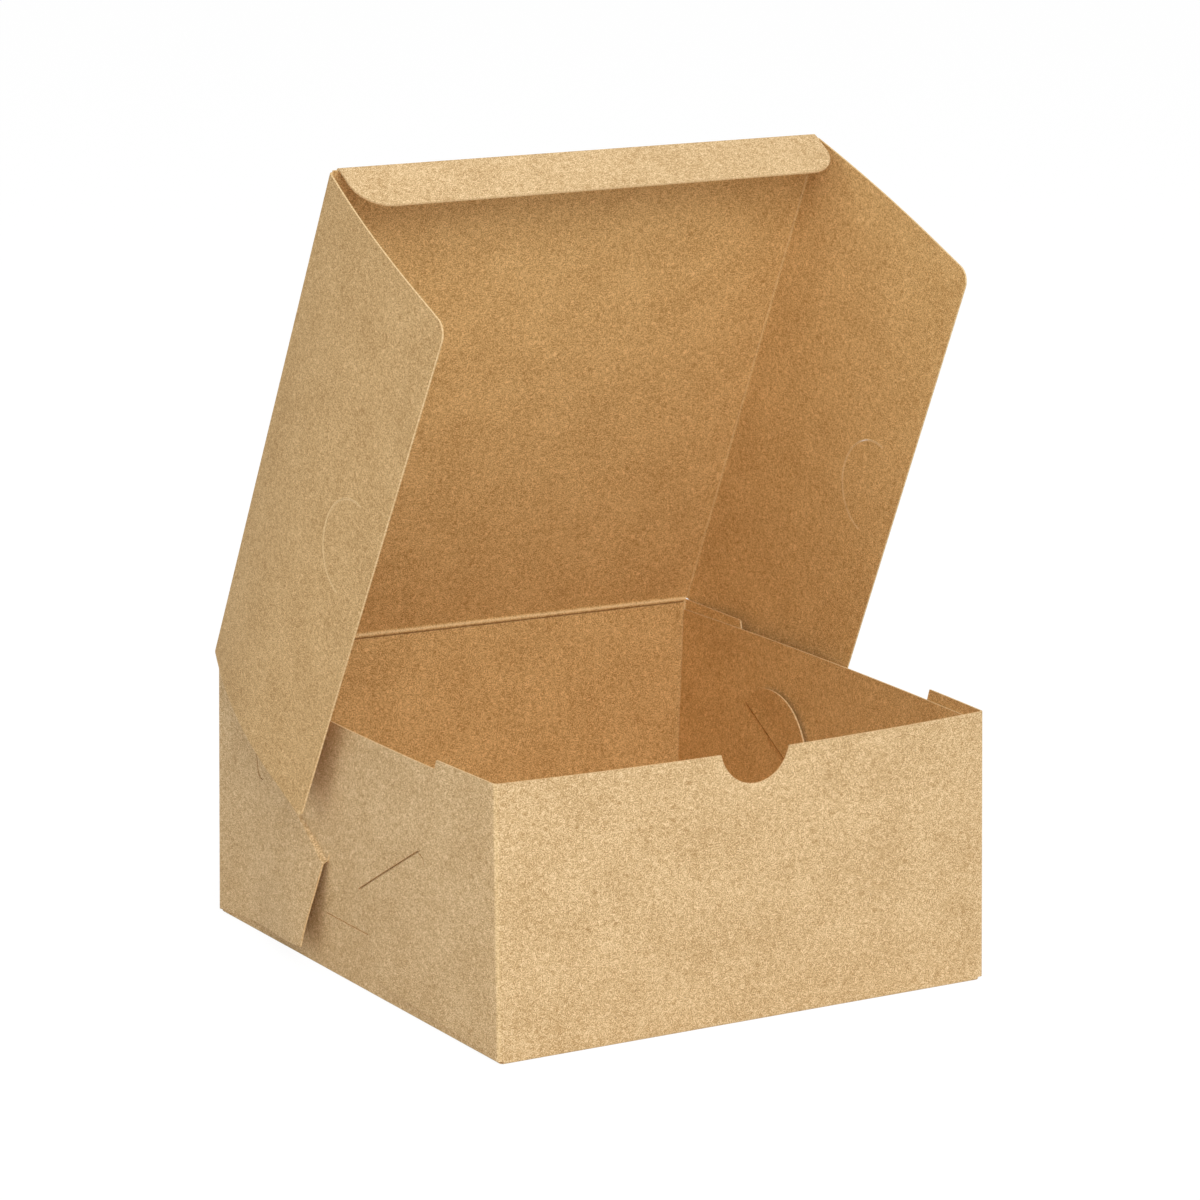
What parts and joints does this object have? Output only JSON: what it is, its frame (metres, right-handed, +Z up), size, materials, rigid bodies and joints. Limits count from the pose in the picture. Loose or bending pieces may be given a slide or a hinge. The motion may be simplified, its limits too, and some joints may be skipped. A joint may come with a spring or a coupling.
{
  "type": "cake box",
  "caption": "Lock-corner kraft board cake box, standing open, with a hinged lid, two side flaps, a tuck flap and a thumb notch.",
  "frame": {"origin": "centre of the underside, on the table", "axes": "+X to the right seen from the front, +Y from the front wall to the hinge, +Z up"},
  "size_m": [0.1654, 0.1546, 0.2195],
  "materials": {
    "kraft_board": "uncoated brown kraft, matt"
  },
  "bodies": {
    "tray": {"tray": "kraft_board"},
    "lid": {"lid": "kraft_board"},
    "left_flap": {"left_flap": "kraft_board"},
    "right_flap": {"right_flap": "kraft_board"},
    "tuck_flap": {"tuck_flap": "kraft_board"}
  },
  "joints": [
    {"name": "lid_hinge", "type": "hinge", "parent": "tray", "child": "lid", "pos_m": [0, 0.077, 0.075], "axis": [-1, 0, 0], "range_deg": [-66.3, 113.7]},
    {"name": "left_flap_fold", "type": "hinge", "parent": "lid", "child": "left_flap", "pos_m": [-0.0772, 0.077, 0.075], "axis": [0, 0.4019, -0.9157], "range_deg": [-4, 86]},
    {"name": "right_flap_fold", "type": "hinge", "parent": "lid", "child": "right_flap", "pos_m": [0.0772, 0.077, 0.075], "axis": [0, -0.4019, 0.9157], "range_deg": [-3, 87]},
    {"name": "tuck_flap_fold", "type": "hinge", "parent": "lid", "child": "tuck_flap", "pos_m": [0, 0.01377, 0.21903], "axis": [-1, 0, 0], "range_deg": [-3, 97]}
  ]
}
